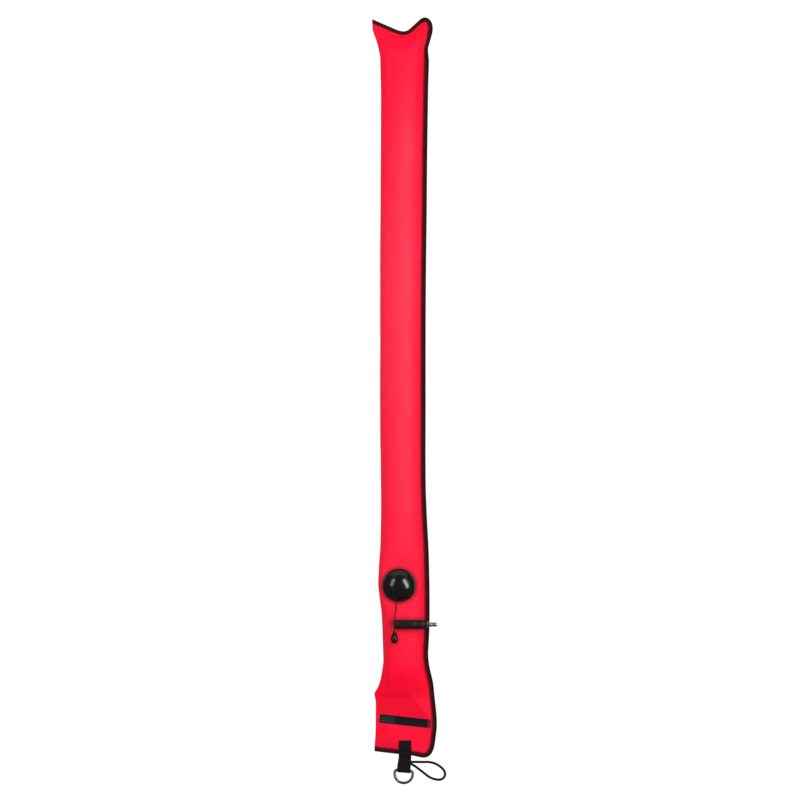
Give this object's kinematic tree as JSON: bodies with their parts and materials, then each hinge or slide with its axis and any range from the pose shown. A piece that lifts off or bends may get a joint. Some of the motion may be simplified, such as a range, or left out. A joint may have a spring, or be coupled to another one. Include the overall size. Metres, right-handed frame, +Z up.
{
  "type": "surface marker buoy",
  "caption": "Long inflatable marker sleeve with a bound edge, domed dump valve with pull cord, side inflator, and a webbing tab holding a line ring and an elastic loop.",
  "frame": {"origin": "inside bottom of the line ring, where the line pulls, on the seam plane of the sleeve", "axes": "+Z up along the sleeve, front (valve side) towards -Y, inflator nipple towards +X"},
  "size_m": [0.1539, 0.0757, 1.5717],
  "materials": {
    "fluorescent_fabric": "satin",
    "binding_tape": "matte",
    "black_webbing": "matte",
    "label_rubber": "satin",
    "stainless_steel": "polished",
    "crimped_steel": "satin",
    "elastic_cord": "matte",
    "welded_film": "satin",
    "seal_rubber": "satin",
    "black_nylon": "satin",
    "gloss_black_plastic": "gloss",
    "spring_steel": "polished",
    "pull_line": "matte",
    "black_rubber": "matte",
    "plated_brass": "satin"
  },
  "bodies": {
    "float": {"bladder_shell": "fluorescent_fabric", "edge_binding": "binding_tape", "label_strip": "label_rubber", "strap_front_patch": "black_webbing", "strap_back_patch": "black_webbing", "valve_inner_flange": "welded_film", "valve_gasket": "seal_rubber", "valve_seat": "black_nylon", "valve_cap": "gloss_black_plastic", "valve_spring": "spring_steel", "inflator_flange": "welded_film", "inflator_hose": "black_rubber", "inflator_body": "plated_brass", "inflator_nipple": "stainless_steel", "nipple_o_ring": "seal_rubber", "spring_retainer": "plated_brass", "check_spring": "spring_steel"},
    "tab": {"strap_loop": "black_webbing", "bungee_loop": "elastic_cord", "bungee_ferrule": "crimped_steel"},
    "ring": {"d_ring": "stainless_steel"},
    "flap": {"valve_disc": "black_nylon", "valve_disc_seal": "seal_rubber", "cord_knot": "pull_line"},
    "pull": {"pull_bead": "gloss_black_plastic", "pull_cord": "pull_line"},
    "poppet": {"check_poppet": "plated_brass", "poppet_seal": "seal_rubber"}
  },
  "joints": [
    {"name": "tab_swing", "type": "hinge", "parent": "float", "child": "tab", "pos_m": [0, 0, 0.0522], "axis": [1, 0, 0], "range_deg": [-90, 90]},
    {"name": "ring_swing", "type": "hinge", "parent": "tab", "child": "ring", "pos_m": [0, 0, 0.0232], "axis": [1, 0, 0], "range_deg": [-150, 150]},
    {"name": "valve_lift", "type": "slide", "parent": "float", "child": "flap", "axis": [0, -1, 0], "range_m": [0, 0.004], "stiffness_N_per_m": 150, "springref_m": -0.01, "deforming": ["valve_spring"]},
    {"name": "bead_pull", "type": "slide", "parent": "float", "child": "pull", "axis": [-0.0636, -0.1741, -0.9827], "range_m": [0, 0.006]},
    {"name": "poppet_push", "type": "slide", "parent": "float", "child": "poppet", "axis": [-1, 0, 0], "range_m": [0, 0.0025], "stiffness_N_per_m": 400, "springref_m": -0.003, "deforming": ["check_spring"]}
  ],
  "couplings": [
    {"joint": "bead_pull", "follows": "valve_lift", "ratio": 1.5}
  ]
}
